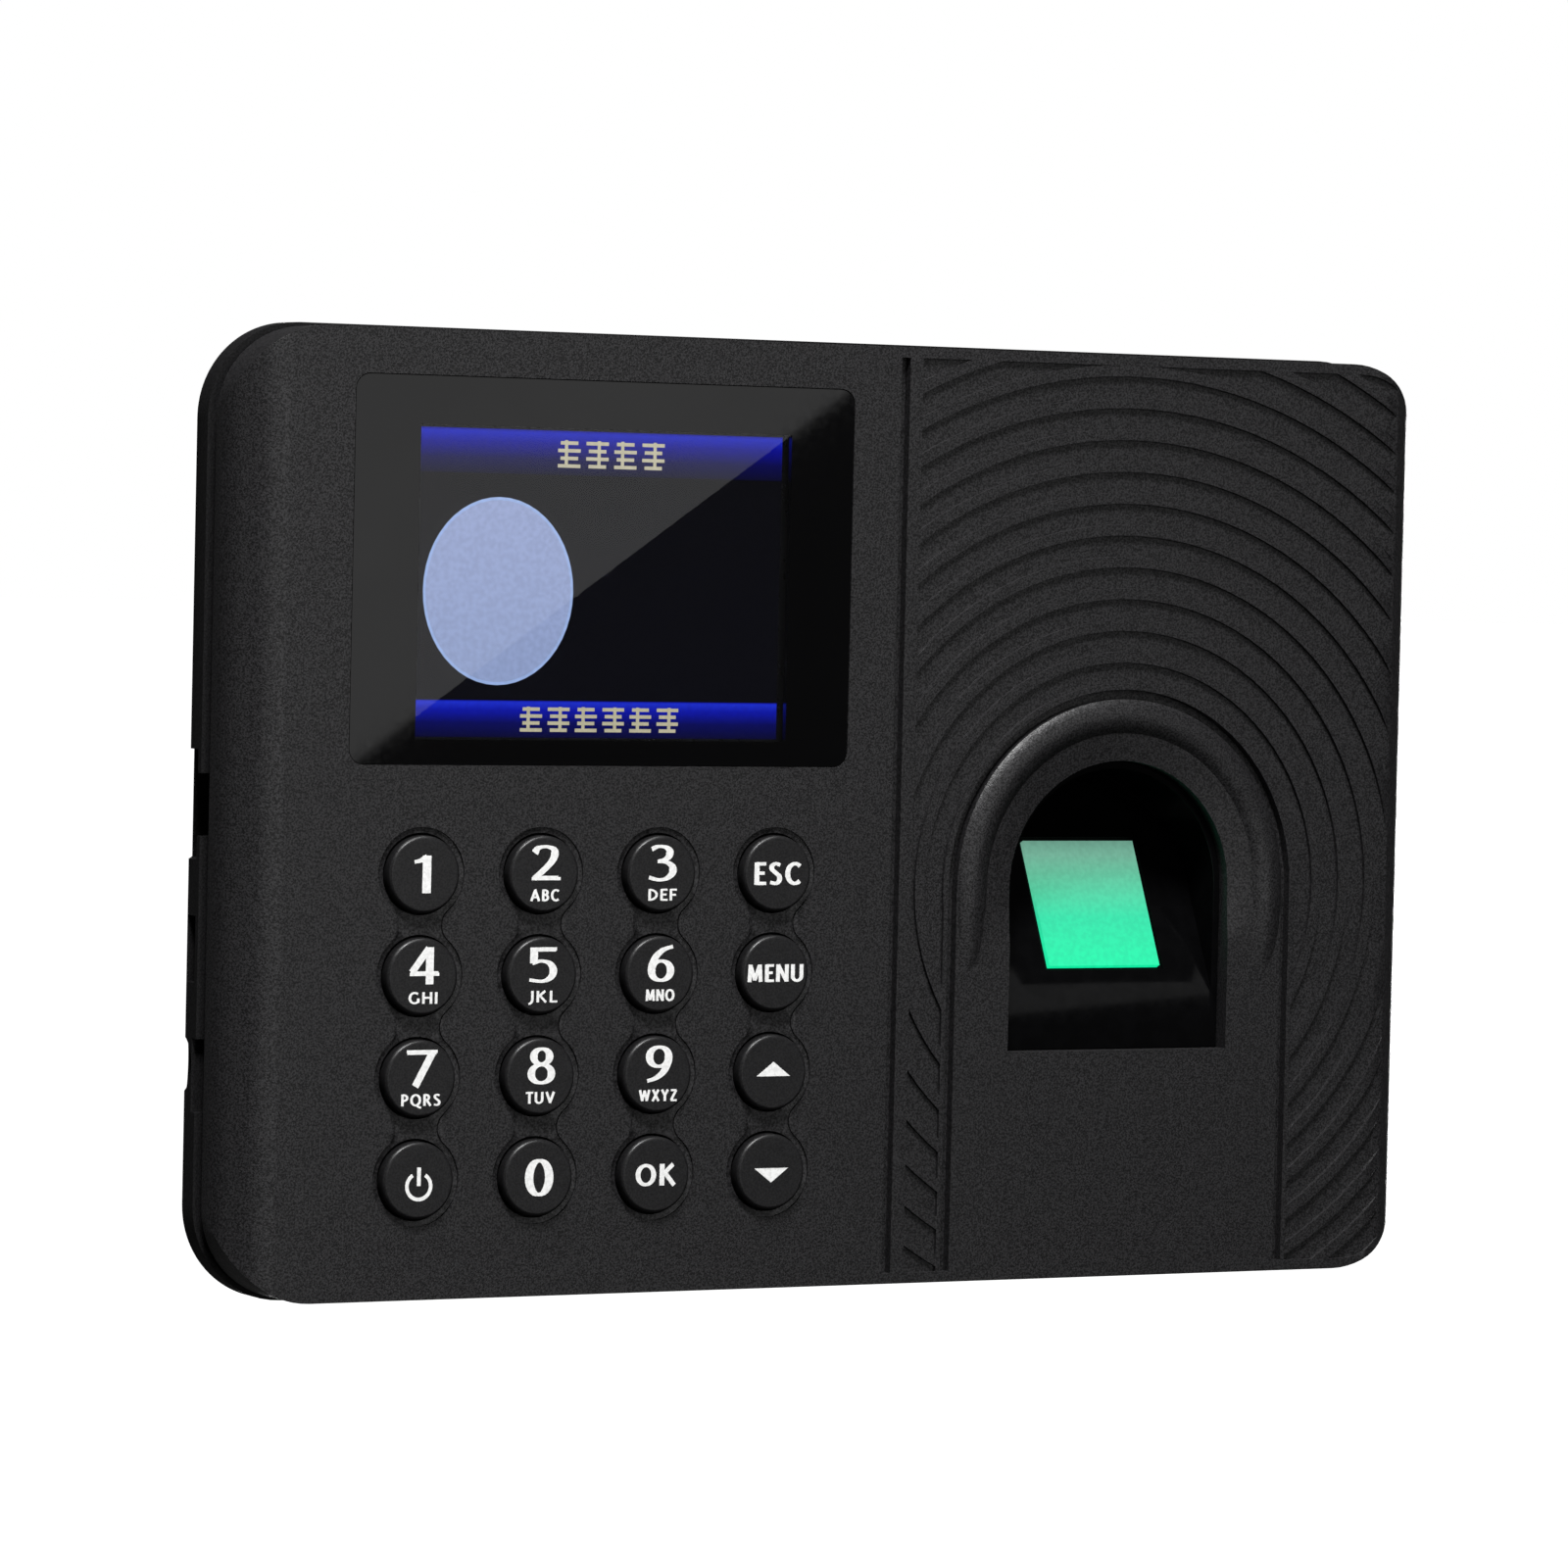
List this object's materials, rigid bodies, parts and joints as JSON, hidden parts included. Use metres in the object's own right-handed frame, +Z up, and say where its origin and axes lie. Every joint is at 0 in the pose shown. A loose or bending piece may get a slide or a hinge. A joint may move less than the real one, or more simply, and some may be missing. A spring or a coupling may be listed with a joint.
{
  "type": "fingerprint scanner terminal",
  "caption": "Black wall-mounted fingerprint terminal with a colour display, a round-key pad and an arched finger recess with a lit window.",
  "frame": {"origin": "on the wall, at the middle of the wall plate's back face", "axes": "+X to the right seen from the front, +Z up, the front faces -Y and the wall is at Y = 0"},
  "size_m": [0.165, 0.031, 0.116],
  "materials": {
    "shell_plastic": "fine spark texture",
    "rear_plastic": "fine spark texture",
    "key_plastic": "satin with white printed legends",
    "lens_glass": "clear, polished",
    "lcd_screen": "lit picture",
    "frame_steel": "bright pressed sheet",
    "screw_steel": "zinc plated",
    "plate_steel": "zinc plated sheet",
    "ribbon_film": "amber film",
    "mat_rubber": "matt silicone",
    "circuit_board": "green solder mask",
    "sensor_plastic": "polished black",
    "sensor_window": "polished, lit green from behind",
    "led_lens": "clear lens",
    "chip_plastic": "moulded",
    "cable_white": "soft",
    "capacitor_can": "sleeved can",
    "connector_plastic": "moulded nylon",
    "cell_steel": "bright",
    "socket_plastic": "moulded",
    "socket_steel": "plated shell",
    "speaker_body": "paper cone in a plastic frame",
    "cable_red": "soft"
  },
  "bodies": {
    "root": {"front_shell": "shell_plastic", "rear_shell": "rear_plastic", "shell_screws": "screw_steel", "wall_plate": "plate_steel", "lock_screw": "screw_steel", "display_lens": "lens_glass", "lcd_panel": "lcd_screen", "lcd_frame": "frame_steel", "lcd_retainer": "frame_steel", "retainer_screws": "screw_steel", "display_ribbon": "ribbon_film", "keypad_mat": "mat_rubber", "keypad_board": "circuit_board", "keypad_screws": "screw_steel", "keypad_ribbon": "ribbon_film", "sensor_housing": "sensor_plastic", "sensor_prism": "sensor_window", "sensor_board": "circuit_board", "sensor_leds": "led_lens", "sensor_camera": "chip_plastic", "sensor_screws": "screw_steel", "sensor_cable": "cable_white", "main_board": "circuit_board", "processor": "chip_plastic", "memory_chips": "chip_plastic", "capacitors": "capacitor_can", "connectors": "connector_plastic", "coin_cell_holder": "chip_plastic", "coin_cell": "cell_steel", "network_socket": "socket_plastic", "usb_board": "circuit_board", "usb_header": "chip_plastic", "usb_socket": "socket_steel", "power_inlet": "socket_plastic", "board_screws": "screw_steel", "speaker": "speaker_body", "speaker_cable": "cable_red"},
    "key_1": {"key_1": "key_plastic"},
    "key_2": {"key_2": "key_plastic"},
    "key_3": {"key_3": "key_plastic"},
    "key_esc": {"key_esc": "key_plastic"},
    "key_4": {"key_4": "key_plastic"},
    "key_5": {"key_5": "key_plastic"},
    "key_6": {"key_6": "key_plastic"},
    "key_menu": {"key_menu": "key_plastic"},
    "key_7": {"key_7": "key_plastic"},
    "key_8": {"key_8": "key_plastic"},
    "key_9": {"key_9": "key_plastic"},
    "key_up": {"key_up": "key_plastic"},
    "key_power": {"key_power": "key_plastic"},
    "key_0": {"key_0": "key_plastic"},
    "key_ok": {"key_ok": "key_plastic"},
    "key_down": {"key_down": "key_plastic"}
  },
  "joints": [
    {"name": "key_1_press", "type": "slide", "parent": "root", "child": "key_1", "axis": [0, 1, 0], "range_m": [0, 0.0008], "stiffness_N_per_m": 400, "springref_m": -0.0003},
    {"name": "key_2_press", "type": "slide", "parent": "root", "child": "key_2", "axis": [0, 1, 0], "range_m": [0, 0.0008], "stiffness_N_per_m": 400, "springref_m": -0.0003},
    {"name": "key_3_press", "type": "slide", "parent": "root", "child": "key_3", "axis": [0, 1, 0], "range_m": [0, 0.0008], "stiffness_N_per_m": 400, "springref_m": -0.0003},
    {"name": "key_esc_press", "type": "slide", "parent": "root", "child": "key_esc", "axis": [0, 1, 0], "range_m": [0, 0.0008], "stiffness_N_per_m": 400, "springref_m": -0.0003},
    {"name": "key_4_press", "type": "slide", "parent": "root", "child": "key_4", "axis": [0, 1, 0], "range_m": [0, 0.0008], "stiffness_N_per_m": 400, "springref_m": -0.0003},
    {"name": "key_5_press", "type": "slide", "parent": "root", "child": "key_5", "axis": [0, 1, 0], "range_m": [0, 0.0008], "stiffness_N_per_m": 400, "springref_m": -0.0003},
    {"name": "key_6_press", "type": "slide", "parent": "root", "child": "key_6", "axis": [0, 1, 0], "range_m": [0, 0.0008], "stiffness_N_per_m": 400, "springref_m": -0.0003},
    {"name": "key_menu_press", "type": "slide", "parent": "root", "child": "key_menu", "axis": [0, 1, 0], "range_m": [0, 0.0008], "stiffness_N_per_m": 400, "springref_m": -0.0003},
    {"name": "key_7_press", "type": "slide", "parent": "root", "child": "key_7", "axis": [0, 1, 0], "range_m": [0, 0.0008], "stiffness_N_per_m": 400, "springref_m": -0.0003},
    {"name": "key_8_press", "type": "slide", "parent": "root", "child": "key_8", "axis": [0, 1, 0], "range_m": [0, 0.0008], "stiffness_N_per_m": 400, "springref_m": -0.0003},
    {"name": "key_9_press", "type": "slide", "parent": "root", "child": "key_9", "axis": [0, 1, 0], "range_m": [0, 0.0008], "stiffness_N_per_m": 400, "springref_m": -0.0003},
    {"name": "key_up_press", "type": "slide", "parent": "root", "child": "key_up", "axis": [0, 1, 0], "range_m": [0, 0.0008], "stiffness_N_per_m": 400, "springref_m": -0.0003},
    {"name": "key_power_press", "type": "slide", "parent": "root", "child": "key_power", "axis": [0, 1, 0], "range_m": [0, 0.0008], "stiffness_N_per_m": 400, "springref_m": -0.0003},
    {"name": "key_0_press", "type": "slide", "parent": "root", "child": "key_0", "axis": [0, 1, 0], "range_m": [0, 0.0008], "stiffness_N_per_m": 400, "springref_m": -0.0003},
    {"name": "key_ok_press", "type": "slide", "parent": "root", "child": "key_ok", "axis": [0, 1, 0], "range_m": [0, 0.0008], "stiffness_N_per_m": 400, "springref_m": -0.0003},
    {"name": "key_down_press", "type": "slide", "parent": "root", "child": "key_down", "axis": [0, 1, 0], "range_m": [0, 0.0008], "stiffness_N_per_m": 400, "springref_m": -0.0003}
  ]
}
